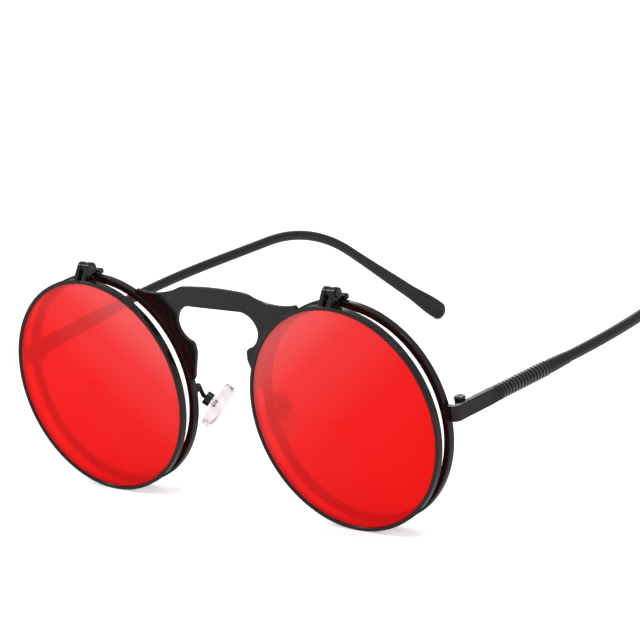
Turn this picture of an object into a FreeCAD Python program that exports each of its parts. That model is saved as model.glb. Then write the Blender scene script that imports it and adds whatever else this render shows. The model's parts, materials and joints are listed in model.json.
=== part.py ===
import FreeCAD, Part
import math
import os
import re

import Sketcher

# Flip-up sunglasses with two round lens pairs, in millimetres.
# Front frame: X to the wearer's left, Y from the flip lenses back to the ears, Z up,
# with its origin midway between the lens centres on the front face of the flip rims.
# Everything on the wearer's left is modelled, and the right side is its mirror image.

SIZES = {
    # round rims and lenses
    "lens_spacing": 72.5,
    "flip_rim_radius": 24.75,
    "flip_rim_wall": 0.9,
    "flip_rim_depth": 1.8,
    "flip_rim_round": 0.25,
    "rim_gap": 2.6,
    "base_rim_radius": 23.8,
    "base_rim_wall": 1.75,
    "base_rim_depth": 1.8,
    "base_rim_round": 0.4,
    "rim_split": 0.25,
    "groove_depth": 0.4,
    "groove_width": 0.6,
    "lens_clearance": 0.03,
    "flip_lens_thickness": 1.2,
    "base_lens_thickness": 1.2,
    "flip_lens_curve": 400,
    "base_lens_curve": 400,
    # bridge plate
    "bridge_thickness": 0.9,
    "bridge_setback": 0.35,
    "bridge_top": 25.3,
    "bridge_arch": 90,
    "shoulder_reach": 9.0,
    "shoulder_arc": 9,
    "valley_reach": 11.9,
    "valley_height": 23.85,
    "valley_arc": 21,
    "horn_reach": 23.4,
    "horn_height": 23.1,
    "horn_tip": 0.5,
    "opening_top": 20.5,
    "opening_corner": 7.5,
    "opening_reach": 12.0,
    "opening_waist": 16.2,
    "opening_arc": 4.7,
    "tooth_height": 12.2,
    "tooth_root": 9.15,
    "tooth_reach": 7.85,
    "tooth_drop": 1.0,
    "leg_waist": 9.3,
    "leg_waist_reach": 7.7,
    "leg_reach": 9.45,
    "leg_height": 3.4,
    "leg_end": 2.2,
    "bridge_fold": 5.5,
    "bridge_fold_angle": 1.5,
    # flip hinge on top of each rim pair
    "hinge_rise": 2.15,
    "hinge_setback": 1.3,
    "knuckle_width": 1.3,
    "knuckle_radius": 1.25,
    "knuckle_clearance": 0.06,
    "lug_width": 1.05,
    "lug_radius": 1.35,
    "lug_inset": 0.2,
    "lug_shoulder": 0.4,
    "bracket_width": 1.4,
    "bracket_depth": 0.65,
    "bracket_inset": 0.15,
    "bracket_arm": 1.5,
    "root_depth": 0.5,
    "hinge_pin_radius": 0.6,
    "hinge_head_radius": 1.0,
    "hinge_head_height": 0.5,
    "pin_clearance": 0.05,
    "thread_clearance": 0.02,
    "slot_width": 0.3,
    "slot_depth": 0.2,
    # closing barrel of each base rim
    "lock_radius": 0.75,
    "lock_setback": 1.65,
    "lock_rise": 0.55,
    "lock_width": 1.4,
    "lock_pin_radius": 0.35,
    "lock_head_radius": 0.5,
    "lock_head_height": 0.35,
    # end piece and temple hinge
    "joint_reach": 64.4,
    "joint_depth": 8.3,
    "joint_height": 3.05,
    "joint_gap": 0.12,
    "temple_splay": 5.5,
    "strip_thickness": 1.3,
    "strip_height": 3.4,
    "strip_front": 3.9,
    "strip_bend": 0.8,
    "strip_length": 6.9,
    "barrel_radius": 1.2,
    "barrel_clearance": 0.12,
    "barrel_stack": 3.8,
    "barrel_middle": 1.5,
    "temple_pin_radius": 0.65,
    "temple_head_radius": 1.3,
    "temple_head_height": 0.5,
    # temple
    "ferrule_length": 3.0,
    "sleeve_radius": 1.72,
    "sleeve_length": 15.2,
    "ridge_count": 15,
    "ridge_depth": 0.3,
    "collar_length": 7.3,
    "collar_radius": 1.55,
    "collar_end_radius": 1.36,
    "wire_radius": 0.8,
    "wire_clearance": 0.03,
    "wire_end_cover": 9.0,
    "bow_distance": 50.9,
    "bow_angle": 12.2,
    "bow_drop": 1.0,
    "bow_radius": 168,
    "ear_distance": 52.6,
    "ear_radius": 38,
    "ear_drop": 42.5,
    "ear_inward": 9.0,
    "tip_distance": 53.5,
    "tip_radius": 1.25,
    "tip_end_height": 4.8,
    "tip_end_width": 2.8,
    "tip_end_round": 2.4,
    "paddle_length": 13,
    # nose pads
    "pad_reach": 9.7,
    "pad_depth": 10.3,
    "pad_height": -5.3,
    "pad_splay": 25,
    "pad_frontal": 40,
    "pad_tilt": 20,
    "pad_length": 10.8,
    "pad_width": 6.2,
    "pad_top_radius": 2.2,
    "pad_thickness": 2.0,
    "pad_edge": 0.7,
    "pad_gap": 0.45,
    "pad_box_radius": 1.6,
    "pad_box_depth": 1.6,
    "pad_box_wall": 0.4,
    "pad_post_radius": 0.8,
    "pad_post_end_gap": 0.15,
    "pad_pin_radius": 0.3,
    "pad_head_radius": 0.55,
    "pad_head_height": 0.3,
    "arm_radius": 0.5,
    "arm_height": -1.0,
    "arm_stand_off": 0.6,
    "arm_crest_depth": 1.2,
    "arm_crest_height": 1.6,
    "arm_bend": 0.65,
}

doc = FreeCAD.newDocument("FlipUpSunglasses")
sheet = doc.addObject("Spreadsheet::Sheet", "Sizes")
for row, (alias, value) in enumerate(SIZES.items(), start=1):
    sheet.set(f"A{row}", alias)
    sheet.set(f"B{row}", str(value))
    sheet.setAlias(f"B{row}", alias)
doc.recompute()

# Sizes that several pieces share, as expressions on the sheet.
LENS_X = "(lens_spacing / 2)"
FLIP_OUTER = "(flip_rim_radius + flip_rim_wall)"
BASE_OUTER = "(base_rim_radius + base_rim_wall)"
BASE_MIDDLE = "(base_rim_radius + base_rim_wall / 2)"
BASE_FRONT = "(flip_rim_depth + rim_gap)"
BASE_BACK = f"({BASE_FRONT} + base_rim_depth)"
HINGE_Y = "(flip_rim_depth + hinge_setback)"
HINGE_Z = f"({FLIP_OUTER} + hinge_rise)"
LUG_START = "(knuckle_width / 2 + knuckle_clearance)"
LOCK_Y = f"({BASE_FRONT} + lock_setback)"
LOCK_Z = f"({BASE_OUTER} + lock_rise)"
BARREL_X = "(strip_thickness / 2 + barrel_radius + barrel_clearance)"
SLEEVE_START = "(strip_length + ferrule_length)"
COLLAR_START = f"({SLEEVE_START} + sleeve_length)"
TIP_START = f"({COLLAR_START} + collar_length)"
WIRE_BORE = "(wire_radius + wire_clearance)"
PAD_BOX_FRONT = "(pad_thickness / 2 + pad_gap)"
PAD_BOX_BACK = f"({PAD_BOX_FRONT} + pad_box_depth)"
PAD_BOX_FLOOR = f"({PAD_BOX_BACK} - pad_box_wall)"
PAD_PIN_X = f"(({PAD_BOX_FRONT} + {PAD_BOX_FLOOR}) / 2)"


def sized(expression):
    """Name the sheet in front of every size in an expression."""
    def named(word):
        return f"Sizes.{word[0]}" if word[0] in SIZES else word[0]
    return re.sub(r"[a-z_]+", named, expression)


def number(expression):
    return float(sheet.evalExpression(sized(expression)))


def bind(thing, property_name, expression):
    thing.setExpression(property_name, sized(expression))


def place(x="0", y="0", z="0", rotation=FreeCAD.Rotation()):
    return FreeCAD.Placement(FreeCAD.Vector(number(x), number(y), number(z)), rotation)


def turn(axis, degrees):
    return FreeCAD.Rotation(FreeCAD.Vector(*axis), degrees)


# The temple's own frame starts at its joint with the end piece and runs back along Y.
TEMPLE_PLACE = place("joint_reach", "joint_depth", "joint_height", turn((0, 0, 1), -number("temple_splay")))

# The nose pad's own frame has X through its thickness, away from the nose, and Z along it.
PAD_TURN = turn((0, 0, 1), -number("pad_splay"))
PAD_TURN = PAD_TURN.multiply(turn((0, 1, 0), -number("pad_frontal")))
PAD_TURN = PAD_TURN.multiply(turn((1, 0, 0), -number("pad_tilt")))
PAD_PLACE = place("pad_reach", "pad_depth", "pad_height", PAD_TURN)
LENS_PLACE = place(LENS_X)

pieces = []


def new_body(label, where):
    body = doc.addObject("PartDesign::Body", label)
    body.Label = label
    body.Placement = where
    pieces.append(body)
    return body


def new_sketch(body, plane, lift="0", offset=None):
    """Open a sketch on one of the body's own planes, lifted along that plane's normal."""
    sketch = body.newObject("Sketcher::SketchObject", "outline")
    origin = [item for item in body.Origin.OriginFeatures if item.Role == plane][0]
    sketch.AttachmentSupport = [(origin, "")]
    sketch.MapMode = "FlatFace"
    if offset:
        sketch.AttachmentOffset = offset
    bind(sketch, "AttachmentOffset.Base.z", lift)
    return sketch


def arc_between(start, end, radius):
    """The short arc from start to end, turning left where the radius is positive."""
    chord = end.sub(start)
    middle = start.add(chord.multiply(0.5))
    rise = math.sqrt(max(radius ** 2 - chord.Length ** 2, 0.0))
    side = FreeCAD.Vector(-chord.y, chord.x, 0).normalize()
    centre = middle.add(side.multiply(math.copysign(rise, radius)))
    circle = Part.Circle(centre, FreeCAD.Vector(0, 0, 1), abs(radius))
    first, last = (start, end) if radius > 0 else (end, start)
    return Part.ArcOfCircle(circle, circle.parameter(first), circle.parameter(last))


def draw_outline(sketch, points):
    """Draw a closed outline of (x, y) corners; a third value makes the stretch up to it an arc."""
    corners = [FreeCAD.Vector(number(point[0]), number(point[1]), 0) for point in points]
    ends = []
    for index, point in enumerate(points):
        start = corners[index - 1]
        end = corners[index]
        radius = number(point[2]) if len(point) == 3 else 0
        if radius:
            curve = sketch.addGeometry(arc_between(start, end, radius))
            limit = sketch.addConstraint(Sketcher.Constraint("Radius", curve, abs(radius)))
            bind(sketch, f"Constraints[{limit}]", f"abs({point[2]})")
        else:
            curve = sketch.addGeometry(Part.LineSegment(start, end))
        ends.append((curve, 1, 2) if radius >= 0 else (curve, 2, 1))
    for index, point in enumerate(points):
        curve, _, last = ends[index]
        following, first, _ = ends[(index + 1) % len(points)]
        sketch.addConstraint(Sketcher.Constraint("Coincident", curve, last, following, first))
        for direction, expression in zip(("DistanceX", "DistanceY"), point[:2]):
            value = number(expression)
            limit = sketch.addConstraint(Sketcher.Constraint(direction, -1, 1, curve, last, value))
            bind(sketch, f"Constraints[{limit}]", expression)


def draw_circle(sketch, x, y, radius):
    centre = FreeCAD.Vector(number(x), number(y), 0)
    curve = sketch.addGeometry(Part.Circle(centre, FreeCAD.Vector(0, 0, 1), number(radius)))
    for kind, expression in (("DistanceX", x), ("DistanceY", y)):
        limit = sketch.addConstraint(Sketcher.Constraint(kind, -1, 1, curve, 3, number(expression)))
        bind(sketch, f"Constraints[{limit}]", expression)
    limit = sketch.addConstraint(Sketcher.Constraint("Radius", curve, number(radius)))
    bind(sketch, f"Constraints[{limit}]", radius)


def draw_box(sketch, left, right, low, high):
    draw_outline(sketch, [(left, low), (right, low), (right, high), (left, high)])


def pad(body, sketch, length):
    feature = body.newObject("PartDesign::Pad", "pad")
    feature.Profile = sketch
    bind(feature, "Length", length)
    doc.recompute()
    return feature


def pocket(body, sketch, length):
    """Cut from the sketch against its normal, and make sure that it met the solid."""
    volume = body.Shape.Volume
    feature = body.newObject("PartDesign::Pocket", "pocket")
    feature.Profile = sketch
    bind(feature, "Length", length)
    doc.recompute()
    if body.Shape.Volume >= volume:
        raise ValueError(f"a cut in {body.Label} misses the solid")
    return feature


def revolve(body, sketch, kind="PartDesign::Revolution"):
    feature = body.newObject(kind, "turned")
    feature.Profile = sketch
    feature.ReferenceAxis = (sketch, ["V_Axis"])
    feature.Angle = 360
    doc.recompute()
    return feature


# Rims and lenses


def rim(label, prefix, where):
    """A split wire ring with rounded corners and a groove for the lens inside it."""
    inner = f"{prefix}_radius"
    outer = f"({prefix}_radius + {prefix}_wall)"
    depth = f"{prefix}_depth"
    bend = f"{prefix}_round"
    body = new_body(label, where)
    section = new_sketch(body, "XY_Plane")
    draw_outline(section, [
        (f"{inner} + {bend}", "0", bend),
        (f"{outer} - {bend}", "0"),
        (outer, bend, bend),
        (outer, f"{depth} - {bend}"),
        (f"{outer} - {bend}", depth, bend),
        (f"{inner} + {bend}", depth),
        (inner, f"{depth} - {bend}", bend),
        (inner, f"{depth} / 2 + groove_width / 2"),
        (f"{inner} + groove_depth", f"{depth} / 2"),
        (inner, f"{depth} / 2 - groove_width / 2"),
        (inner, bend),
    ])
    revolve(body, section)
    split = new_sketch(body, "XZ_Plane", f"{depth}")
    draw_box(split, "-rim_split / 2", "rim_split / 2", f"{inner} - {depth}", f"{outer} + {depth}")
    pocket(body, split, f"3 * {depth}")


def lens(label, rim_prefix, prefix, where):
    """A domed disc with a ridge round its edge that sits in the rim's groove."""
    edge = f"({rim_prefix}_radius - lens_clearance)"
    middle = f"{rim_prefix}_depth / 2"
    front = f"({middle} - {prefix}_thickness / 2)"
    back = f"({middle} + {prefix}_thickness / 2)"
    curve = f"{prefix}_curve"
    dome = f"({curve} - sqrt({curve} ^ 2 - {edge} ^ 2))"
    ridge = "(groove_width / 2 - lens_clearance)"
    body = new_body(label, where)
    section = new_sketch(body, "XY_Plane")
    draw_outline(section, [
        ("0", f"{front} - {dome}"),
        (edge, front, curve),
        (edge, f"{middle} - {ridge}"),
        (f"{edge} + groove_depth", middle),
        (edge, f"{middle} + {ridge}"),
        (edge, back),
        ("0", f"{back} - {dome}", f"-{curve}"),
    ])
    revolve(body, section)


BASE_PLACE = place(LENS_X, BASE_FRONT)
rim("flip_rim_left", "flip_rim", LENS_PLACE)
lens("flip_lens_left", "flip_rim", "flip_lens", LENS_PLACE)
rim("base_rim_left", "base_rim", BASE_PLACE)
lens("base_lens_left", "base_rim", "base_lens", BASE_PLACE)

# Bridge plate


def bridge_plate():
    """A stamped keyhole plate between the rims, with a horn along each rim and a slight fold."""
    middle = f"({BASE_FRONT} + bridge_setback)"
    half = "(bridge_thickness / 2)"
    arch_drop = "(bridge_arch - sqrt(bridge_arch ^ 2 - shoulder_reach ^ 2))"
    tip_reach = "(horn_reach + horn_tip)"
    tip_height = f"sqrt({BASE_OUTER} ^ 2 - ({LENS_X} - {tip_reach}) ^ 2)"
    leg_root = f"({LENS_X} - sqrt({BASE_OUTER} ^ 2 - leg_end ^ 2))"
    right_half = [
        ("0", "bridge_top"),
        ("shoulder_reach", f"bridge_top - {arch_drop}", "-bridge_arch"),
        ("valley_reach", "valley_height", "-shoulder_arc"),
        ("horn_reach", "horn_height", "valley_arc"),
        (tip_reach, tip_height, "-1.6 * horn_tip"),
        (leg_root, "leg_end", BASE_OUTER),
        ("leg_reach", "leg_height", "-2 * (leg_height - leg_end)"),
        ("leg_waist_reach", "leg_waist"),
        ("tooth_reach", "tooth_height - tooth_drop"),
        ("tooth_root", "tooth_height", "-1.2 * (tooth_root - tooth_reach)"),
        ("opening_reach", "opening_waist", "opening_arc"),
        ("opening_corner", "opening_top", "opening_arc"),
    ]
    left_half = []
    for index in range(len(right_half) - 1, -1, -1):
        x, y = right_half[index][:2]
        following = right_half[(index + 1) % len(right_half)]
        bend = following[2:] if index < len(right_half) - 1 else ()
        left_half.append((f"-({x})", y) + bend)
    left_half = left_half[:-1]
    top_bend = right_half[1][2:]
    right_half[0] = right_half[0] + top_bend
    body = new_body("bridge_plate", place())
    outline = new_sketch(body, "XZ_Plane", f"-({middle} + base_rim_depth)")
    draw_outline(outline, right_half + left_half)
    pad(body, outline, "2 * base_rim_depth")

    slope = "tan(bridge_fold_angle * 1 deg)"
    span = LENS_X
    wing = f"({span} - bridge_fold) * {slope}"
    for side in ("-", "+"):
        face = f"({middle} {side} {half})"
        far = f"({face} {side} 3 * base_rim_depth)"
        trim = new_sketch(body, "XY_Plane", "2 * bridge_top")
        draw_outline(trim, [
            (f"-{span}", far),
            (span, far),
            (span, f"{face} + {wing}"),
            ("bridge_fold", face),
            ("-bridge_fold", face),
            (f"-{span}", f"{face} + {wing}"),
        ])
        pocket(body, trim, "3 * bridge_top")


bridge_plate()

# Screws


def screw(label, where, pin, length, head, height):
    """A slotted cheese-head screw along Z, with its head standing on Z = 0."""
    body = new_body(label, where)
    section = new_sketch(body, "XZ_Plane")
    draw_outline(section, [
        ("0", f"-({length})"),
        (pin, f"-({length})"),
        (pin, "0"),
        (head, "0"),
        (head, f"{height} / 2"),
        (f"{head} - {height} / 2", height),
        ("0", height),
    ])
    revolve(body, section)
    slot = new_sketch(body, "XY_Plane", height)
    draw_box(slot, "-slot_width / 2", "slot_width / 2", f"-2 * {head}", f"2 * {head}")
    pocket(body, slot, "slot_depth")


# Flip hinge: two lugs on the flip rim, a knuckle on the base rim and a screw through them


def cut_rim_seat(body, radius, depth):
    """Hollow a foot to the outside of a rim, so that it sits on the rim face to face."""
    seat = new_sketch(body, "XZ_Plane", depth)
    draw_circle(seat, "0", "0", radius)
    pocket(body, seat, f"{depth} + {BASE_BACK} + lock_setback")


def on_hinge(radius, degrees):
    """A point on a circle about the hinge axis, as seen from the side."""
    y = f"{HINGE_Y} + {radius} * cos({degrees} * 1 deg)"
    z = f"{HINGE_Z} + {radius} * sin({degrees} * 1 deg)"
    return (y, z)


def flip_lug(label, start):
    body = new_body(label, LENS_PLACE)
    outline = new_sketch(body, "YZ_Plane", start)
    foot = f"{FLIP_OUTER} - root_depth"
    shoulder = f"{FLIP_OUTER} + lug_shoulder"
    draw_outline(outline, [
        ("lug_inset", foot),
        ("lug_inset", shoulder),
        on_hinge("lug_radius", 160),
        on_hinge("lug_radius", 55) + ("-lug_radius",),
        on_hinge("lug_radius", -50) + ("-lug_radius",),
        ("flip_rim_depth - lug_inset", shoulder),
        ("flip_rim_depth - lug_inset", foot),
    ])
    draw_circle(outline, HINGE_Y, HINGE_Z, "hinge_pin_radius + thread_clearance")
    pad(body, outline, "lug_width")
    cut_rim_seat(body, FLIP_OUTER, "flip_rim_depth")


def flip_bracket():
    body = new_body("flip_bracket_left", LENS_PLACE)
    arm = new_sketch(body, "YZ_Plane", "-knuckle_width / 2")
    front = f"({BASE_FRONT} + bracket_inset)"
    back = f"({front} + bracket_depth)"
    belly = f"{BASE_OUTER} + bracket_inset"
    draw_outline(arm, [
        on_hinge("knuckle_radius", 240),
        on_hinge("knuckle_radius", 150) + ("-knuckle_radius",),
        on_hinge("knuckle_radius", 60) + ("-knuckle_radius",),
        (front, f"{BASE_OUTER} + bracket_arm"),
        (back, f"{BASE_OUTER} + bracket_depth"),
        (back, belly),
        (front, belly),
    ])
    draw_circle(arm, HINGE_Y, HINGE_Z, "hinge_pin_radius + pin_clearance")
    pad(body, arm, "knuckle_width")
    foot = new_sketch(body, "YZ_Plane", "-(bracket_width + rim_split / 2)")
    draw_box(foot, front, back, f"{BASE_OUTER} - root_depth", f"{BASE_OUTER} + bracket_depth")
    pad(body, foot, "bracket_width")
    cut_rim_seat(body, BASE_OUTER, "flip_rim_depth")


def rim_lock(label, start):
    """Half of the barrel that closes the split base rim."""
    body = new_body(label, LENS_PLACE)
    barrel = new_sketch(body, "YZ_Plane", start)
    draw_circle(barrel, LOCK_Y, LOCK_Z, "lock_radius")
    draw_circle(barrel, LOCK_Y, LOCK_Z, "lock_pin_radius + thread_clearance")
    pad(body, barrel, "lock_width")
    cut_rim_seat(body, BASE_OUTER, "flip_rim_depth")


FACING_OUT = turn((0, 1, 0), 90)
flip_lug("flip_lug_outer_left", LUG_START)
flip_lug("flip_lug_inner_left", f"-({LUG_START} + lug_width)")
flip_bracket()
hinge_head_x = f"{LENS_X} + {LUG_START} + lug_width"
screw("flip_hinge_screw_left", place(hinge_head_x, HINGE_Y, HINGE_Z, FACING_OUT),
      "hinge_pin_radius", f"2 * ({LUG_START} + lug_width)", "hinge_head_radius", "hinge_head_height")
rim_lock("rim_lock_outer_left", "rim_split / 2")
rim_lock("rim_lock_inner_left", "-(rim_split / 2 + lock_width)")
lock_head_x = f"{LENS_X} + rim_split / 2 + lock_width"
screw("rim_lock_screw_left", place(lock_head_x, LOCK_Y, LOCK_Z, FACING_OUT),
      "lock_pin_radius", "rim_split + 2 * lock_width", "lock_head_radius", "lock_head_height")

# End piece and temple hinge


def barrel_outline(sketch, side):
    """A hinge barrel with a web to the strip; the web lies on the given side of the joint."""
    edge = f"{side} joint_gap / 2"
    flank = f"{side} barrel_radius"
    shoulder = f"-{BARREL_X} + sqrt(barrel_radius ^ 2 - (joint_gap / 2) ^ 2)"
    bend = "barrel_radius" if side == "-" else "-barrel_radius"
    opposite = "barrel_radius" if side == "-" else "-barrel_radius"
    draw_outline(sketch, [
        (f"-{BARREL_X}", flank, bend),
        ("-strip_thickness / 4", flank),
        ("-strip_thickness / 4", edge),
        (shoulder, edge),
        (f"-{BARREL_X}", opposite, bend),
        (f"-{BARREL_X} - barrel_radius", "0", bend),
    ])


def end_piece():
    """A strip bent from the rim's side back to the temple, with two hinge barrels inside it."""
    splay = "(temple_splay * 1 deg)"
    half = "(strip_thickness / 2)"
    run = "(strip_front + strip_thickness / 2)"
    corner = f"(joint_reach - (joint_depth - {run}) * tan{splay})"
    bend_x = f"({corner} - strip_bend * tan((90 - temple_splay) / 2 * 1 deg))"
    bend_y = f"({run} + strip_bend)"
    end_x = f"(joint_reach - joint_gap / 2 * sin{splay})"
    end_y = f"(joint_depth - joint_gap / 2 * cos{splay})"
    root = f"({LENS_X} + base_rim_radius)"
    outer = f"(strip_bend + {half})"
    inner = f"(strip_bend - {half})"
    body = new_body("end_piece_left", place())
    strip = new_sketch(body, "XY_Plane", "joint_height - strip_height / 2")
    draw_outline(strip, [
        (root, f"{run} - {half}"),
        (bend_x, f"{run} - {half}"),
        (f"{bend_x} + {outer} * cos{splay}", f"{bend_y} - {outer} * sin{splay}", outer),
        (f"{end_x} + {half} * cos{splay}", f"{end_y} - {half} * sin{splay}"),
        (f"{end_x} - {half} * cos{splay}", f"{end_y} + {half} * sin{splay}"),
        (f"{bend_x} + {inner} * cos{splay}", f"{bend_y} - {inner} * sin{splay}"),
        (bend_x, f"{run} + {half}", f"-{inner}"),
        (root, f"{run} + {half}"),
    ])
    pad(body, strip, "strip_height")

    hinge = FreeCAD.Placement(TEMPLE_PLACE)
    barrels = new_sketch(body, "XY_Plane", "joint_height - barrel_stack / 2", hinge)
    barrel_outline(barrels, "-")
    pad(body, barrels, "barrel_stack")
    slot = new_sketch(body, "XY_Plane", "joint_height + barrel_middle / 2", hinge)
    reach = "(barrel_radius + barrel_clearance)"
    draw_box(slot, f"-{BARREL_X} - {reach}", "-strip_thickness / 2", f"-{reach}", reach)
    pocket(body, slot, "barrel_middle")
    bore = new_sketch(body, "XY_Plane", "joint_height + barrel_stack", hinge)
    draw_circle(bore, f"-{BARREL_X}", "0", "temple_pin_radius + thread_clearance")
    pocket(body, bore, "2 * barrel_stack")

    seat = new_sketch(body, "XZ_Plane")
    draw_circle(seat, LENS_X, "0", BASE_OUTER)
    pocket(body, seat, BASE_BACK)


def temple_joint():
    """The temple's front strip with the middle hinge barrel and a ferrule that turns round."""
    body = new_body("temple_joint_left", TEMPLE_PLACE)
    half = "(strip_thickness / 2)"
    strip = new_sketch(body, "XY_Plane", "-strip_height / 2")
    draw_box(strip, f"-{half}", half, "joint_gap / 2", "strip_length")
    pad(body, strip, "strip_height")
    middle = "(barrel_middle - 2 * barrel_clearance)"
    barrel = new_sketch(body, "XY_Plane", f"-{middle} / 2")
    barrel_outline(barrel, "+")
    pad(body, barrel, middle)
    bore = new_sketch(body, "XY_Plane", "barrel_stack")
    draw_circle(bore, f"-{BARREL_X}", "0", "temple_pin_radius + pin_clearance")
    pocket(body, bore, "2 * barrel_stack")

    flat_end = new_sketch(body, "XZ_Plane", "-strip_length")
    draw_box(flat_end, f"-{half}", half, "-strip_height / 2", "strip_height / 2")
    round_end = new_sketch(body, "XZ_Plane", f"-{SLEEVE_START}")
    corner = "sleeve_radius * sin(45 * 1 deg)"
    bend = ("sleeve_radius",)
    draw_outline(round_end, [
        (f"-{corner}", f"-{corner}") + bend,
        (corner, f"-{corner}") + bend,
        (corner, corner) + bend,
        (f"-{corner}", corner) + bend,
    ])
    ferrule = body.newObject("PartDesign::AdditiveLoft", "ferrule")
    ferrule.Profile = flat_end
    ferrule.Sections = [round_end]
    doc.recompute()


end_piece()
temple_joint()
screw_spot = TEMPLE_PLACE.multiply(place(f"-{BARREL_X}", "0", "barrel_stack / 2"))
screw("temple_screw_left", screw_spot, "temple_pin_radius", "barrel_stack",
      "temple_head_radius", "temple_head_height")

# Temple behind the hinge: ribbed sleeve, collar, core wire and plastic tip


def ribbed_sleeve():
    """A turned tube with a row of round ridges."""
    pitch = "(sleeve_length / ridge_count)"
    body = new_body("ribbed_sleeve_left", TEMPLE_PLACE)
    tube = new_sketch(body, "XY_Plane")
    draw_box(tube, WIRE_BORE, "sleeve_radius", SLEEVE_START, COLLAR_START)
    revolve(body, tube)
    notch = new_sketch(body, "XY_Plane")
    draw_outline(notch, [
        ("sleeve_radius - ridge_depth", f"{SLEEVE_START} + 0.5 * {pitch}"),
        ("sleeve_radius + ridge_depth", f"{SLEEVE_START} + 0.1 * {pitch}"),
        ("sleeve_radius + ridge_depth", f"{SLEEVE_START} + 0.9 * {pitch}"),
    ])
    groove = revolve(body, notch, "PartDesign::Groove")
    ridges = body.newObject("PartDesign::LinearPattern", "ridges")
    ridges.Originals = [groove]
    ridges.Direction = (notch, ["V_Axis"])
    bind(ridges, "Length", f"sleeve_length - {pitch}")
    bind(ridges, "Occurrences", "ridge_count")
    body.Tip = ridges
    doc.recompute()


def collar():
    body = new_body("temple_collar_left", TEMPLE_PLACE)
    section = new_sketch(body, "XY_Plane")
    draw_outline(section, [
        (WIRE_BORE, COLLAR_START),
        ("collar_radius", COLLAR_START),
        ("collar_radius", f"{COLLAR_START} + collar_length / 3"),
        ("collar_end_radius", TIP_START),
        (WIRE_BORE, TIP_START),
    ])
    revolve(body, section)


def toward(inward, drop):
    """The unit vector of a temple run that turns inward and drops by these angles."""
    return FreeCAD.Vector(-math.sin(inward) * math.cos(drop), math.cos(inward) * math.cos(drop), -math.sin(drop))


def rounded_route(points, radii):
    """Straight runs between points, with a tangent arc of the given radius at each inner point."""
    edges = []
    start = points[0]
    for before, corner, after, radius in zip(points, points[1:], points[2:], radii):
        incoming = corner.sub(before).normalize()
        outgoing = after.sub(corner).normalize()
        half_turn = incoming.getAngle(outgoing) / 2
        setback = radius * math.tan(half_turn)
        first = corner.sub(incoming * setback)
        last = corner.add(outgoing * setback)
        inside = outgoing.sub(incoming).normalize()
        crown = corner.add(inside * (radius / math.cos(half_turn) - radius))
        edges.append(Part.LineSegment(start, first).toShape())
        edges.append(Part.Arc(first, crown, last).toShape())
        start = last
    edges.append(Part.LineSegment(start, points[-1]).toShape())
    return Part.Wire(edges)


def temple_route(start):
    """The temple's centreline from a distance behind the joint to the end of its tip."""
    bow = toward(math.radians(number("bow_angle")), math.radians(number("bow_drop")))
    inward = math.radians(number("bow_angle + ear_inward"))
    ear = toward(inward, math.radians(number("bow_drop + ear_drop")))
    bow_point = FreeCAD.Vector(0, number("bow_distance"), 0)
    ear_point = bow_point.add(bow * number("ear_distance"))
    end = ear_point.add(ear * number("tip_distance"))
    first = FreeCAD.Vector(0, number(start), 0)
    return rounded_route([first, bow_point, ear_point, end], [number("bow_radius"), number("ear_radius")])


def shortened(route, cover):
    """The same route with its last straight run cut short."""
    last = route.Edges[-1]
    kept = Part.LineSegment(last.valueAt(last.FirstParameter), last.valueAt(last.LastParameter - cover))
    return Part.Wire(route.Edges[:-1] + [kept.toShape()])


def helper(label, shape):
    thing = doc.addObject("Part::Feature", label)
    thing.Shape = shape
    return thing


def swept_wire(label, route, radius):
    """A round wire along a route that lies in the frame of the piece."""
    first = route.Edges[0]
    section = doc.addObject("Part::Circle", f"{label}_section")
    bind(section, "Radius", radius)
    heading = FreeCAD.Rotation(FreeCAD.Vector(0, 0, 1), first.tangentAt(first.FirstParameter))
    section.Placement = FreeCAD.Placement(first.valueAt(first.FirstParameter), heading)
    spine = helper(f"{label}_route", route)
    sweep = doc.addObject("Part::Sweep", label)
    sweep.Sections = [section]
    sweep.Spine = (spine, [f"Edge{index + 1}" for index in range(len(route.Edges))])
    sweep.Solid = True
    sweep.Frenet = False
    sweep.Label = label
    doc.recompute()
    return sweep


def spot_along(route, distance):
    """The point and heading at a distance along a route."""
    for edge in route.Edges:
        if distance <= edge.Length + 1e-6:
            parameter = edge.getParameterByLength(min(distance, edge.Length))
            return edge.valueAt(parameter), edge.tangentAt(parameter)
        distance -= edge.Length
    raise ValueError("the distance lies past the end of the route")


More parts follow.
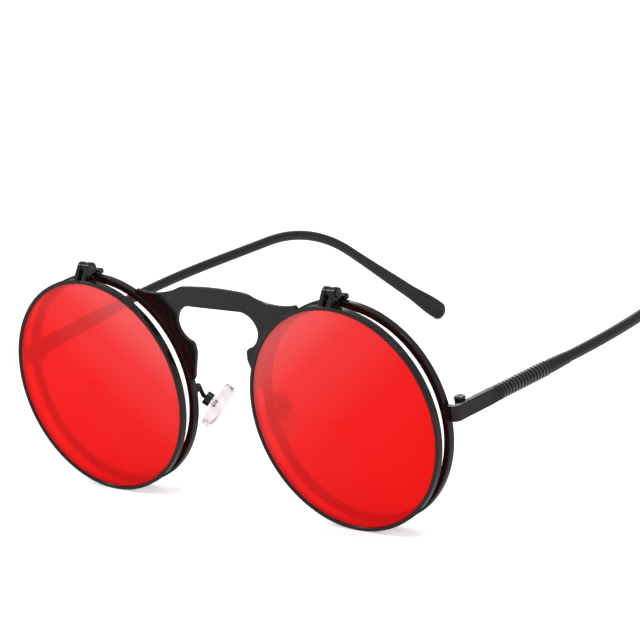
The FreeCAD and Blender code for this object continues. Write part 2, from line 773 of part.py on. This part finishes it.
def temple_tip(route, bore):
    """A plastic rod that swells to a rounded paddle behind the ear, moulded over the wire."""
    paddle = number("paddle_length")
    rod_length = route.Length - paddle - number("tip_end_round")
    rod = swept_wire("tip_rod", shortened(route, route.Length - rod_length), "tip_radius")
    sections = []
    for share in (0, 0.25, 0.5, 0.75, 1):
        point, heading = spot_along(route, rod_length + share * paddle)
        side = heading.cross(FreeCAD.Vector(0, 0, 1)).normalize()
        upward = side.cross(heading)
        swell = f"{share * math.sin(share * math.pi / 2):.4f}"
        section = doc.addObject("Part::Ellipse", "paddle_section")
        bind(section, "MajorRadius", f"tip_radius + (tip_end_height / 2 - tip_radius) * {swell}")
        bind(section, "MinorRadius", f"tip_radius + (tip_end_width / 2 - tip_radius) * {swell}")
        section.Placement = FreeCAD.Placement(point, FreeCAD.Rotation(upward, heading.cross(upward), heading))
        sections.append(section)
    blade = doc.addObject("Part::Loft", "paddle_blade")
    blade.Sections = sections
    blade.Solid = True
    cap = doc.addObject("Part::Ellipsoid", "paddle_cap")
    bind(cap, "Radius1", "tip_end_round")
    bind(cap, "Radius2", "tip_end_height / 2")
    bind(cap, "Radius3", "tip_end_width / 2")
    cap.Angle1 = 0
    cap.Placement = sections[-1].Placement
    rounded = doc.addObject("Part::MultiFuse", "tip_rounded")
    rounded.Shapes = [rod, blade, cap]
    tip = doc.addObject("Part::Cut", "temple_tip_left")
    tip.Base = rounded
    tip.Tool = bore
    tip.Label = "temple_tip_left"
    tip.Placement = TEMPLE_PLACE
    pieces.append(tip)
    doc.recompute()


ribbed_sleeve()
collar()
core_route = shortened(temple_route(SLEEVE_START), number("wire_end_cover"))
core = swept_wire("temple_wire_left", core_route, "wire_radius")
core.Placement = TEMPLE_PLACE
pieces.append(core)
tip_bore = swept_wire("tip_bore", core_route, WIRE_BORE)
temple_tip(temple_route(TIP_START), tip_bore)

# Nose pads on their arms


def nose_pad():
    """A soft drop-shaped pad with a post that rocks on a pin in the pad box."""
    low = "(pad_width / 2 - pad_length / 2)"
    high = "(pad_length / 2 - pad_top_radius)"
    lean = f"asin((pad_width / 2 - pad_top_radius) / ({high} - {low}))"
    low_side = (f"pad_width / 2 * cos({lean})", f"{low} + pad_width / 2 * sin({lean})")
    high_side = (f"pad_top_radius * cos({lean})", f"{high} + pad_top_radius * sin({lean})")
    body = new_body("nose_pad_left", PAD_PLACE)
    outline = new_sketch(body, "YZ_Plane", "-pad_thickness / 2")
    draw_outline(outline, [
        ("0", "-pad_length / 2", "pad_width / 2"),
        low_side + ("pad_width / 2",),
        high_side,
        ("0", "pad_length / 2", "pad_top_radius"),
        (f"-({high_side[0]})", high_side[1], "pad_top_radius"),
        (f"-({low_side[0]})", low_side[1]),
    ])
    disc = pad(body, outline, "pad_thickness")
    rounded = body.newObject("PartDesign::Fillet", "soft_edges")
    flat = [f"Face{index + 1}" for index, face in enumerate(disc.Shape.Faces)
            if abs(face.normalAt(0, 0).x) > 0.99]
    rounded.Base = (disc, flat)
    bind(rounded, "Radius", "pad_edge")
    doc.recompute()
    post = new_sketch(body, "YZ_Plane")
    draw_circle(post, "0", "0", "pad_post_radius")
    pad(body, post, f"{PAD_BOX_FLOOR} - pad_post_end_gap")
    bore = new_sketch(body, "XZ_Plane", "pad_width")
    draw_circle(bore, PAD_PIN_X, "0", "pad_pin_radius + pin_clearance")
    pocket(body, bore, "2 * pad_width")


def pad_box():
    """A round cup, open to the pad, that the arm ends in."""
    body = new_body("nose_pad_box_left", PAD_PLACE)
    cup = new_sketch(body, "YZ_Plane", PAD_BOX_FRONT)
    draw_circle(cup, "0", "0", "pad_box_radius")
    pad(body, cup, "pad_box_depth")
    hollow = new_sketch(body, "YZ_Plane", PAD_BOX_FLOOR)
    draw_circle(hollow, "0", "0", "pad_box_radius - pad_box_wall")
    pocket(body, hollow, "pad_box_depth")
    bore = new_sketch(body, "XZ_Plane", "pad_width")
    draw_circle(bore, PAD_PIN_X, "0", "pad_pin_radius + thread_clearance")
    pocket(body, bore, "2 * pad_width")


def pad_arm():
    """A bent wire that leaves the back of the base rim, arches up and runs down to the pad box."""
    root_x = f"{LENS_X} - sqrt({BASE_MIDDLE} ^ 2 - arm_height ^ 2)"
    root = FreeCAD.Vector(number(root_x), number(BASE_BACK), number("arm_height"))
    box_back = PAD_PLACE.multVec(FreeCAD.Vector(number(PAD_BOX_BACK), 0, 0))
    away = PAD_TURN.multVec(FreeCAD.Vector(1, 0, 0))
    first = root.add(FreeCAD.Vector(0, number("arm_stand_off"), 0))
    last = box_back.add(away * number("arm_stand_off"))
    crest = first.add(last).multiply(0.5)
    crest.y = number(f"{BASE_BACK} + arm_crest_depth")
    crest.z = number("arm_crest_height")
    bend = number("arm_bend")
    route = rounded_route([root, first, crest, last, box_back], [bend, bend, bend])
    arm = swept_wire("nose_pad_arm_left", route, "arm_radius")
    pieces.append(arm)


nose_pad()
pad_box()
pad_arm()
pin_spot = PAD_PLACE.multiply(place(PAD_PIN_X, "-pad_box_radius", "0", turn((1, 0, 0), 90)))
screw("nose_pad_screw_left", pin_spot, "pad_pin_radius", "2 * pad_box_radius",
      "pad_head_radius", "pad_head_height")

# Stand the glasses on a table: they rest on the flip rims and on the two temple tips.


def lowest(shape, tilt):
    """How low a shape reaches once it is tilted about X."""
    tilted = shape.copy()
    tilted.rotate(FreeCAD.Vector(), FreeCAD.Vector(1, 0, 0), tilt)
    return tilted.optimalBoundingBox(False).ZMin


def by_label(label):
    return [piece for piece in pieces if piece.Label == label][0]


front_foot = by_label("flip_rim_left").Shape
back_foot = by_label("temple_tip_left").Shape
tilt = 0.0
for _ in range(4):
    drop = lowest(front_foot, tilt) - lowest(back_foot, tilt)
    tilt += math.degrees(drop / number("joint_depth + bow_distance + ear_distance + tip_distance / 2"))
standing = FreeCAD.Placement(FreeCAD.Vector(), turn((1, 0, 0), tilt))
for piece in pieces:
    piece.Placement = standing.multiply(piece.Placement)
doc.recompute()
box = Part.makeCompound([piece.Shape for piece in pieces]).optimalBoundingBox(False)
lift = FreeCAD.Placement(FreeCAD.Vector(0, -(box.YMin + box.YMax) / 2, -box.ZMin), FreeCAD.Rotation())
for piece in pieces:
    piece.Placement = lift.multiply(piece.Placement)
doc.recompute()

# The wearer's right side mirrors the left.
for piece in [piece for piece in pieces if piece.Label.endswith("_left")]:
    twin = doc.addObject("Part::Mirroring", piece.Label.replace("_left", "_right"))
    twin.Source = piece
    twin.Normal = FreeCAD.Vector(1, 0, 0)
    twin.Label = piece.Label.replace("_left", "_right")
    pieces.append(twin)
doc.recompute()

for thing in doc.Objects:
    if "Invalid" in thing.State or "Error" in thing.State:
        raise ValueError(f"{thing.Label} did not build: {thing.State}")
os.makedirs("parts", exist_ok=True)
for piece in pieces:
    if piece.Shape.isNull() or not piece.Shape.isValid():
        raise ValueError(f"{piece.Label} has no valid solid")
    piece.Shape.exportStep(f"parts/{piece.Label}.step")
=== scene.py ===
import json
import math

import bmesh
import bpy
from mathutils import Matrix, Vector


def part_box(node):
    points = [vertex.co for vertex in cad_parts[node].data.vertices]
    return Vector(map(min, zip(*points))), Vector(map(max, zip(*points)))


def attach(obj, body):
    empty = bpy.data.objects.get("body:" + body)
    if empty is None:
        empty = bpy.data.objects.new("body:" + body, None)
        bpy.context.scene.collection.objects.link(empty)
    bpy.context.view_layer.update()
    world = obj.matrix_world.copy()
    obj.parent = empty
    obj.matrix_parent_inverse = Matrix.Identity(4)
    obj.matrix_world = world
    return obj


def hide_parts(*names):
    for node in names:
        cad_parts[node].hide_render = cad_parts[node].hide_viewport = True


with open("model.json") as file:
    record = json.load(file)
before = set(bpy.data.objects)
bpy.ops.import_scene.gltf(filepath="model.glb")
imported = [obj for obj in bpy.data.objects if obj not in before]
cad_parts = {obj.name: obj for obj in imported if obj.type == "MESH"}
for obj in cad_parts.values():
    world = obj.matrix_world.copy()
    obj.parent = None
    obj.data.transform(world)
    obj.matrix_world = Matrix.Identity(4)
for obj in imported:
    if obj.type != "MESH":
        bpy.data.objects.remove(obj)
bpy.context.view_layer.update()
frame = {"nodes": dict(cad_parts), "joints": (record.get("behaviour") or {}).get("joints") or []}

# Frame front: a stamped keyhole bridge, two split wire rims, the bent end pieces, the flip
# brackets and the closing barrels. They are nickel alloy, brazed together and then sprayed
# with one coat of black satin enamel that runs softly over every edge.
SIDES = ("left", "right")


def both_sides(*pieces):
    """The names of the left and the right node of each piece."""
    return [f"{piece}_{side}" for piece in pieces for side in SIDES]


def new_finish(name):
    """A new material and its shader."""
    material = bpy.data.materials.new(name)
    material.use_nodes = True
    return material, material.node_tree.nodes["Principled BSDF"]


def cloud_over(material, scale, detail):
    """A cloud of noise that lies on a piece and moves with it."""
    tree = material.node_tree
    place = tree.nodes.new("ShaderNodeTexCoord")
    cloud = tree.nodes.new("ShaderNodeTexNoise")
    cloud.inputs["Scale"].default_value = scale
    cloud.inputs["Detail"].default_value = detail
    tree.links.new(place.outputs["Object"], cloud.inputs["Vector"])
    return cloud.outputs["Fac"]


def uneven_gloss(material, cloud, low, high):
    """Let the roughness drift between two values with a cloud."""
    tree = material.node_tree
    gloss = tree.nodes.new("ShaderNodeMapRange")
    gloss.inputs["To Min"].default_value = low
    gloss.inputs["To Max"].default_value = high
    tree.links.new(cloud, gloss.inputs["Value"])
    tree.links.new(gloss.outputs["Result"], tree.nodes["Principled BSDF"].inputs["Roughness"])


def tinted(material, cloud, stops):
    """Let the base colour drift through colour stops, each a place from 0 to 1 and a colour."""
    tree = material.node_tree
    shades = tree.nodes.new("ShaderNodeValToRGB")
    shades.color_ramp.interpolation = "EASE"
    while len(shades.color_ramp.elements) < len(stops):
        shades.color_ramp.elements.new(0.5)
    for element, (spot, colour) in zip(shades.color_ramp.elements, stops):
        element.position = spot
        element.color = (*colour, 1.0)
    tree.links.new(cloud, shades.inputs["Fac"])
    tree.links.new(shades.outputs["Color"], tree.nodes["Principled BSDF"].inputs["Base Color"])


def soft_grain(material, grain, depth, edge_round=0.0):
    """Raise a shallow grain, over edges that look rounded by the given radius."""
    tree = material.node_tree
    relief = tree.nodes.new("ShaderNodeBump")
    relief.inputs["Strength"].default_value = 0.3
    relief.inputs["Distance"].default_value = depth
    tree.links.new(grain, relief.inputs["Height"])
    if edge_round:
        edges = tree.nodes.new("ShaderNodeBevel")
        edges.samples = 8
        edges.inputs["Radius"].default_value = edge_round
        tree.links.new(edges.outputs["Normal"], relief.inputs["Normal"])
    tree.links.new(relief.outputs["Normal"], tree.nodes["Principled BSDF"].inputs["Normal"])


def fading_gloss(material, level):
    """Let the gloss fade from a level to none where a surface turns away, as satin black does."""
    tree = material.node_tree
    turned = tree.nodes.new("ShaderNodeLayerWeight")
    turned.inputs["Blend"].default_value = 0.5
    gloss = tree.nodes.new("ShaderNodeMapRange")
    gloss.inputs["From Min"].default_value = 0.25
    gloss.inputs["From Max"].default_value = 0.85
    gloss.inputs["To Min"].default_value = level
    gloss.inputs["To Max"].default_value = 0.0
    tree.links.new(turned.outputs["Facing"], gloss.inputs["Value"])
    tree.links.new(gloss.outputs["Result"], tree.nodes["Principled BSDF"].inputs["Specular IOR Level"])


def coat_nodes(material, names):
    """Put a finish on CAD nodes."""
    for name in names:
        part = frame["nodes"][name]
        part.data.materials.clear()
        part.data.materials.append(material)


black_enamel, _ = new_finish("black_enamel")
fading_gloss(black_enamel, level=0.2)
enamel_cloud = cloud_over(black_enamel, scale=900.0, detail=5.0)
uneven_gloss(black_enamel, enamel_cloud, low=0.10, high=0.18)
tinted(black_enamel, enamel_cloud, [(0.3, (0.007, 0.005, 0.005)), (0.7, (0.011, 0.008, 0.008))])
enamel_grain = cloud_over(black_enamel, scale=6000.0, detail=3.0)
soft_grain(black_enamel, enamel_grain, depth=0.000003, edge_round=0.0002)
coat_nodes(black_enamel, ["bridge_plate"])
coat_nodes(black_enamel,
           both_sides("base_rim", "end_piece", "flip_bracket", "rim_lock_inner", "rim_lock_outer"))

# Base lenses: clear discs of polycarbonate with a ridge along the edge, snapped into the groove
# of the fixed rims before the closing barrels are screwed tight.
clear_lens, shader = new_finish("clear_lens")
shader.inputs["Transmission Weight"].default_value = 1.0
shader.inputs["IOR"].default_value = 1.05
shader.inputs["Coat Weight"].default_value = 0.5
lens_cloud = cloud_over(clear_lens, scale=60.0, detail=2.0)
uneven_gloss(clear_lens, lens_cloud, low=0.0, high=0.004)
tinted(clear_lens, lens_cloud, [(0.3, (0.94, 0.945, 0.95)), (0.7, (0.96, 0.96, 0.96))])
coat_nodes(clear_lens, both_sides("base_lens"))

# Flip rims: a thinner wire ring for each tinted lens, with two lugs brazed on top of it that
# straddle the knuckle of the flip bracket. The same black enamel covers them.
coat_nodes(black_enamel, both_sides("flip_rim", "flip_lug_inner", "flip_lug_outer"))

# Flip lenses: moulded polycarbonate discs, dyed deep red and mirror coated on the front. A painted
# reflection of a bright lamp lies in the front colour, so each lens pales to pink in its upper
# nasal corner and fades back to deep red downwards and towards the temples.
LENS_RADIUS = 0.02475
COAT_DEPTH = 0.0002
# Front colours: deep red that pales to pink where the painted reflection of a bright lamp lies.
REDS_AND_PAINTED_REFLECTION = [
    (0.05, (0.93, 0.003, 0.003)),
    (0.45, (0.93, 0.009, 0.009)),
    (0.72, (0.93, 0.036, 0.036)),
    (1.0, (0.94, 0.130, 0.130)),
]
BACK_RED = (0.5, 0.006, 0.006, 1.0)
COAT_CLEARNESS = 0.28
PAINTED_REFLECTION_WAY = Vector((-0.6, 0.0, 0.8))
lens_low, lens_high = (Vector(corner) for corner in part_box("flip_lens_left"))
lens_middle = (lens_low + lens_high) / 2
joints = {joint["name"]: joint for joint in frame["joints"]}
upright = Vector(joints["temple_left_hinge"]["axis"])
lens_axis = Vector((0.0, upright.z, -upright.y))
lens_depths = [lens_axis.dot(corner.co) for corner in frame["nodes"]["flip_lens_left"].data.vertices]
coat_end = (min(lens_depths) + max(lens_depths)) / 2


def share_across(tree, place, way, middle, reach):
    """How far a place has come along a way, from 0 to 1, within a reach of a middle."""
    along = tree.nodes.new("ShaderNodeVectorMath")
    along.operation = "DOT_PRODUCT"
    along.inputs[1].default_value = way
    tree.links.new(place, along.inputs[0])
    share = tree.nodes.new("ShaderNodeMapRange")
    share.inputs["From Min"].default_value = middle - reach
    share.inputs["From Max"].default_value = middle + reach
    tree.links.new(along.outputs["Value"], share.inputs["Value"])
    return share.outputs["Result"]


red_lens, shader = new_finish("red_lens")
shader.inputs["IOR"].default_value = 1.05
shader.inputs["Coat Weight"].default_value = 0.1
shader.inputs["Coat Roughness"].default_value = 0.03
uneven_gloss(red_lens, cloud_over(red_lens, scale=60.0, detail=2.0), low=0.0, high=0.004)
tree = red_lens.node_tree
place = tree.nodes.new("ShaderNodeTexCoord").outputs["Object"]
either_side = tree.nodes.new("ShaderNodeVectorMath")
either_side.operation = "ABSOLUTE"
tree.links.new(place, either_side.inputs[0])
mirrored_place = either_side.outputs["Vector"]
# The painted reflection: how far a place lies towards the upper nasal corner, mirrored so both lenses
# match.
painted_reflection = share_across(tree, mirrored_place, PAINTED_REFLECTION_WAY, PAINTED_REFLECTION_WAY.dot(lens_middle), LENS_RADIUS)
tinted(red_lens, painted_reflection, REDS_AND_PAINTED_REFLECTION)
bare_back = share_across(tree, place, lens_axis, coat_end, COAT_DEPTH)
coat_or_back = tree.nodes.new("ShaderNodeMix")
coat_or_back.data_type = "RGBA"
coat_or_back.inputs["B"].default_value = BACK_RED
tree.links.new(bare_back, coat_or_back.inputs["Factor"])
tree.links.new(shader.inputs["Base Color"].links[0].from_socket, coat_or_back.inputs["A"])
tree.links.new(coat_or_back.outputs["Result"], shader.inputs["Base Color"])
clearness = tree.nodes.new("ShaderNodeMapRange")
clearness.inputs["To Min"].default_value = COAT_CLEARNESS
clearness.inputs["To Max"].default_value = 1.0
tree.links.new(bare_back, clearness.inputs["Value"])
tree.links.new(clearness.outputs["Result"], shader.inputs["Transmission Weight"])
coat_nodes(red_lens, both_sides("flip_lens"))

# Screws: small slotted screws of blackened steel, driven bare after the enamel has dried, so
# they are a shade greyer and show fine turning marks.
black_steel, shader = new_finish("black_steel")
shader.inputs["Metallic"].default_value = 0.6
steel_cloud = cloud_over(black_steel, scale=2500.0, detail=5.0)
uneven_gloss(black_steel, steel_cloud, low=0.22, high=0.36)
tinted(black_steel, steel_cloud, [(0.3, (0.014, 0.014, 0.014)), (0.7, (0.030, 0.029, 0.029))])
turning_marks = cloud_over(black_steel, scale=15000.0, detail=3.0)
soft_grain(black_steel, turning_marks, depth=0.00001, edge_round=0.0001)
coat_nodes(black_steel,
           both_sides("flip_hinge_screw", "rim_lock_screw", "temple_screw", "nose_pad_screw"))

# Temples: a flat joint strip that turns into a round ferrule, a ribbed sleeve polished brighter and
# a tapered collar, then a black acetate tip moulded over a steel core wire. Past the ear bend the
# tip grows higher little by little until it ends in its flat paddle.
coat_nodes(black_enamel, both_sides("temple_joint", "temple_collar"))

RIB_DEPTH = 0.0005
bright_enamel, shader = new_finish("bright_enamel")
tree = bright_enamel.node_tree
# Painted shade in the grooves: an occlusion mask cuts the gloss almost to none down in the grooves and
# leaves it high on the ribs.
open_sky = tree.nodes.new("ShaderNodeAmbientOcclusion")
open_sky.samples = 8
open_sky.only_local = True
open_sky.inputs["Distance"].default_value = RIB_DEPTH
gloss_with_painted_groove_shade = tree.nodes.new("ShaderNodeMapRange")
gloss_with_painted_groove_shade.inputs["From Min"].default_value = 0.6
gloss_with_painted_groove_shade.inputs["To Min"].default_value = 0.02
gloss_with_painted_groove_shade.inputs["To Max"].default_value = 0.5
tree.links.new(open_sky.outputs["AO"], gloss_with_painted_groove_shade.inputs["Value"])
tree.links.new(gloss_with_painted_groove_shade.outputs["Result"], shader.inputs["Specular IOR Level"])
rib_cloud = cloud_over(bright_enamel, scale=900.0, detail=5.0)
uneven_gloss(bright_enamel, rib_cloud, low=0.14, high=0.22)
tinted(bright_enamel, rib_cloud, [(0.3, (0.004, 0.003, 0.003)), (0.7, (0.008, 0.006, 0.006))])
soft_grain(bright_enamel, cloud_over(bright_enamel, scale=6000.0, detail=3.0), depth=0.000006)
coat_nodes(bright_enamel, both_sides("ribbed_sleeve"))

black_acetate, _ = new_finish("black_acetate")
fading_gloss(black_acetate, level=0.22)
acetate_cloud = cloud_over(black_acetate, scale=300.0, detail=5.0)
uneven_gloss(black_acetate, acetate_cloud, low=0.20, high=0.28)
tinted(black_acetate, acetate_cloud, [(0.3, (0.006, 0.004, 0.004)), (0.7, (0.010, 0.007, 0.007))])
soft_grain(black_acetate, cloud_over(black_acetate, scale=1800.0, detail=3.0), depth=0.00001)

# On the left temple, the end of the ear bend and the end of the core wire.
EAR_END = Vector((0.06019, 0.04729, 0.02547))
CORE_END = Vector((0.05441, 0.06915, 0.00663))
SWELL = 0.4
SWELL_LENGTH = 0.036
SWELL_LATENESS = 1.8
SWELL_STEPS = 24
BORE_REACH = 0.001
WELD_DISTANCE = 1e-7
CREASE_ANGLE = math.radians(40.0)


def new_piece(name, shape, material):
    """Turn a finished shape into an object of the scene."""
    mesh = bpy.data.meshes.new(name)
    shape.to_mesh(mesh)
    shape.free()
    mesh.materials.append(material)
    piece = bpy.data.objects.new(name, mesh)
    bpy.context.scene.collection.objects.link(piece)
    return piece


for side, hand in (("left", 1), ("right", -1)):
    swell_start = Vector((EAR_END.x * hand, EAR_END.y, EAR_END.z))
    run = (Vector((CORE_END.x * hand, CORE_END.y, CORE_END.z)) - swell_start).normalized()
    rise = Vector((0.0, 0.0, 1.0))
    rise = (rise - run * rise.dot(run)).normalized()
    shape = bmesh.new()
    shape.from_mesh(frame["nodes"][f"temple_tip_{side}"].data)
    bmesh.ops.remove_doubles(shape, verts=shape.verts, dist=WELD_DISTANCE)
    for step in range(1, SWELL_STEPS):
        cut = swell_start + run * SWELL_LENGTH * step / SWELL_STEPS
        everything = shape.verts[:] + shape.edges[:] + shape.faces[:]
        bmesh.ops.bisect_plane(shape, geom=everything, dist=WELD_DISTANCE, plane_co=cut, plane_no=run)
    for corner in shape.verts:
        offset = corner.co - swell_start
        share = offset.dot(run) / SWELL_LENGTH
        reach = offset - run * offset.dot(run)
        if 0 < share < 1 and reach.length > BORE_REACH:
            swell = SWELL * math.sin(math.pi * share ** SWELL_LATENESS)
            corner.co += rise * reach.dot(rise) * swell
    for face in shape.faces:
        face.smooth = True
    tip = new_piece(f"moulded_tip_{side}", shape, black_acetate)
    tip.data.set_sharp_from_angle(angle=CREASE_ANGLE)
    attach(tip, f"temple_{side}")
    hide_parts(f"temple_tip_{side}")

core_steel, shader = new_finish("core_steel")
shader.inputs["Metallic"].default_value = 1.0
core_cloud = cloud_over(core_steel, scale=1200.0, detail=5.0)
uneven_gloss(core_steel, core_cloud, low=0.25, high=0.45)
tinted(core_steel, core_cloud, [(0.3, (0.50, 0.50, 0.51)), (0.7, (0.62, 0.61, 0.60))])
soft_grain(core_steel, cloud_over(core_steel, scale=7000.0, detail=3.0), depth=0.00001)
coat_nodes(core_steel, both_sides("temple_wire"))

# Nose pads: clear silicone drops with a flat back and a crowned face, moulded round a post.
# Each sits on a bent wire arm, where a cross screw holds the post in a small cup.
coat_nodes(black_enamel, both_sides("nose_pad_arm", "nose_pad_box"))

# The front leans back as the glasses stand, so its own frame is found from two of the joints.
FLIP_AXIS = Vector((0.03625, 0.0031, 0.0278))
front_lean = Matrix.Rotation(math.atan2(-upright.y, upright.z), 4, "X")
front_origin = Vector(joints["flip_left_hinge"]["pos_m"]) - front_lean @ FLIP_AXIS
front_place = Matrix.Translation(front_origin) @ front_lean

PAD_CENTRE = Vector((0.0097, 0.0103, -0.0053))
PAD_TURNS = (("Z", -25.0), ("Y", -40.0), ("X", -20.0))
PAD_BACK = 0.001
PAD_FACE = 0.0023
PAD_WIDTH = 0.0062
PAD_LENGTH = 0.0108
PAD_TAPER = 0.16
PAD_BOXINESS = 0.35
POST_RADIUS = 0.0008
POST_LENGTH = 0.0025
pad_place = front_place @ Matrix.Translation(PAD_CENTRE)
for axis, degrees in PAD_TURNS:
    pad_place = pad_place @ Matrix.Rotation(math.radians(degrees), 4, axis)
post_place = Matrix.Translation((POST_LENGTH / 2, 0, 0)) @ Matrix.Rotation(math.pi / 2, 4, "Y")

clear_silicone, shader = new_finish("clear_silicone")
shader.inputs["Transmission Weight"].default_value = 0.9
shader.inputs["IOR"].default_value = 1.35
silicone_cloud = cloud_over(clear_silicone, scale=500.0, detail=5.0)
uneven_gloss(clear_silicone, silicone_cloud, low=0.04, high=0.10)
tinted(clear_silicone, silicone_cloud, [(0.3, (0.68, 0.58, 0.60)), (0.7, (0.78, 0.74, 0.75))])
soft_grain(clear_silicone, cloud_over(clear_silicone, scale=3000.0, detail=3.0), depth=0.00001)

for side in SIDES:
    shape = bmesh.new()
    bmesh.ops.create_uvsphere(shape, u_segments=64, v_segments=40, radius=1.0)
    for corner in shape.verts:
        bulge = math.copysign(abs(corner.co.x) ** PAD_BOXINESS, corner.co.x)
        corner.co.x = bulge * (PAD_BACK if bulge > 0 else PAD_FACE)
        corner.co.y *= PAD_WIDTH / 2 * (1 - PAD_TAPER * corner.co.z)
        corner.co.z *= PAD_LENGTH / 2
    bmesh.ops.create_cone(shape, cap_ends=True, segments=32, radius1=POST_RADIUS, radius2=POST_RADIUS,
                          depth=POST_LENGTH, matrix=post_place)
    bmesh.ops.transform(shape, matrix=pad_place, verts=shape.verts)
    if side == "right":
        bmesh.ops.scale(shape, vec=(-1, 1, 1), verts=shape.verts)
    bmesh.ops.recalc_face_normals(shape, faces=shape.faces)
    for face in shape.faces:
        face.smooth = True
    drop = new_piece(f"silicone_drop_{side}", shape, clear_silicone)
    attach(drop, f"pad_{side}")
    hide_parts(f"nose_pad_{side}")

# Stage: a white floor in a white room, lit by three soft square lamps. Room and floor look plain
# white to the eye, and the floor keeps a faint shadow where the glasses stand.
FLOOR_REACH = 6.0
LAMP_AIM = Vector((0.0, -0.02, 0.02))
LAMPS = (
    ("key_lamp", Vector((-0.62, -0.38, 0.70)), 0.24, 2.8),
    ("top_lamp", Vector((0.48, 0.05, 0.85)), 0.20, 2.0),
    ("back_lamp", Vector((-0.45, 0.70, 0.52)), 0.25, 0.8),
)


def seen_white(tree):
    """One where the eye sees a place, in a mirror or through glass too, and nought for other light."""
    path = tree.nodes.new("ShaderNodeLightPath")
    seen = path.outputs["Is Camera Ray"]
    for way in ("Is Glossy Ray", "Is Transmission Ray"):
        either = tree.nodes.new("ShaderNodeMath")
        either.operation = "MAXIMUM"
        tree.links.new(seen, either.inputs[0])
        tree.links.new(path.outputs[way], either.inputs[1])
        seen = either.outputs["Value"]
    return seen


floor_white, shader = new_finish("floor_white")
shader.inputs["Base Color"].default_value = (0.85, 0.85, 0.85, 1.0)
shader.inputs["Roughness"].default_value = 0.9
shader.inputs["Specular IOR Level"].default_value = 0.0
shader.inputs["Emission Color"].default_value = (1.0, 1.0, 1.0, 1.0)
tree = floor_white.node_tree
glow = tree.nodes.new("ShaderNodeMapRange")
glow.inputs["To Max"].default_value = 0.45
tree.links.new(seen_white(tree), glow.inputs["Value"])
tree.links.new(glow.outputs["Result"], shader.inputs["Emission Strength"])
floor_shape = bmesh.new()
bmesh.ops.create_grid(floor_shape, x_segments=1, y_segments=1, size=FLOOR_REACH)
floor = new_piece("floor", floor_shape, floor_white)

room = bpy.data.worlds.new("room")
room.use_nodes = True
tree = room.node_tree
tree.nodes["Background"].inputs["Color"].default_value = (1.0, 1.0, 1.0, 1.0)
daylight = tree.nodes.new("ShaderNodeMapRange")
daylight.inputs["To Min"].default_value = 0.8
daylight.inputs["To Max"].default_value = 1.0
tree.links.new(seen_white(tree), daylight.inputs["Value"])
tree.links.new(daylight.outputs["Result"], tree.nodes["Background"].inputs["Strength"])
bpy.context.scene.world = room

for name, spot, width, power in LAMPS:
    lamp = bpy.data.lights.new(name, "AREA")
    lamp.shape = "SQUARE"
    lamp.size = width
    lamp.energy = power
    holder = bpy.data.objects.new(name, lamp)
    holder.location = spot
    holder.rotation_euler = (LAMP_AIM - spot).to_track_quat("-Z", "Y").to_euler()
    bpy.context.scene.collection.objects.link(holder)

# Camera: a long lens from the wearer's front left, a little above and slightly rolled. Its place
# was fitted to the glasses before they lean back on their tips, so it leans with them.
AZIMUTH = math.radians(41.82)
ELEVATION = math.radians(17.6)
ROLL = math.radians(-8.78)
PHOTO_PIXELS = 640.0
FOCAL_PIXELS = 2758.1
EYE_DISTANCE = 0.58321
AIM = Vector((0.034635, 0.0, 0.022626))
backward = Vector((math.sin(AZIMUTH) * math.cos(ELEVATION), -math.cos(AZIMUTH) * math.cos(ELEVATION),
                   math.sin(ELEVATION)))
level = Vector((math.cos(AZIMUTH), math.sin(AZIMUTH), 0.0))
upward = backward.cross(level)
right = level * math.cos(ROLL) + upward * math.sin(ROLL)
top = upward * math.cos(ROLL) - level * math.sin(ROLL)
camera_data = bpy.data.cameras.new("camera")
camera_data.sensor_width = 36.0
camera_data.lens = FOCAL_PIXELS * camera_data.sensor_width / PHOTO_PIXELS
camera = bpy.data.objects.new("camera", camera_data)
camera_turn = Matrix((right, top, backward)).transposed().to_4x4()
camera.matrix_world = front_place @ Matrix.Translation(AIM + backward * EYE_DISTANCE) @ camera_turn
bpy.context.scene.collection.objects.link(camera)
bpy.context.scene.camera = camera
bpy.context.scene.view_settings.view_transform = "Standard"
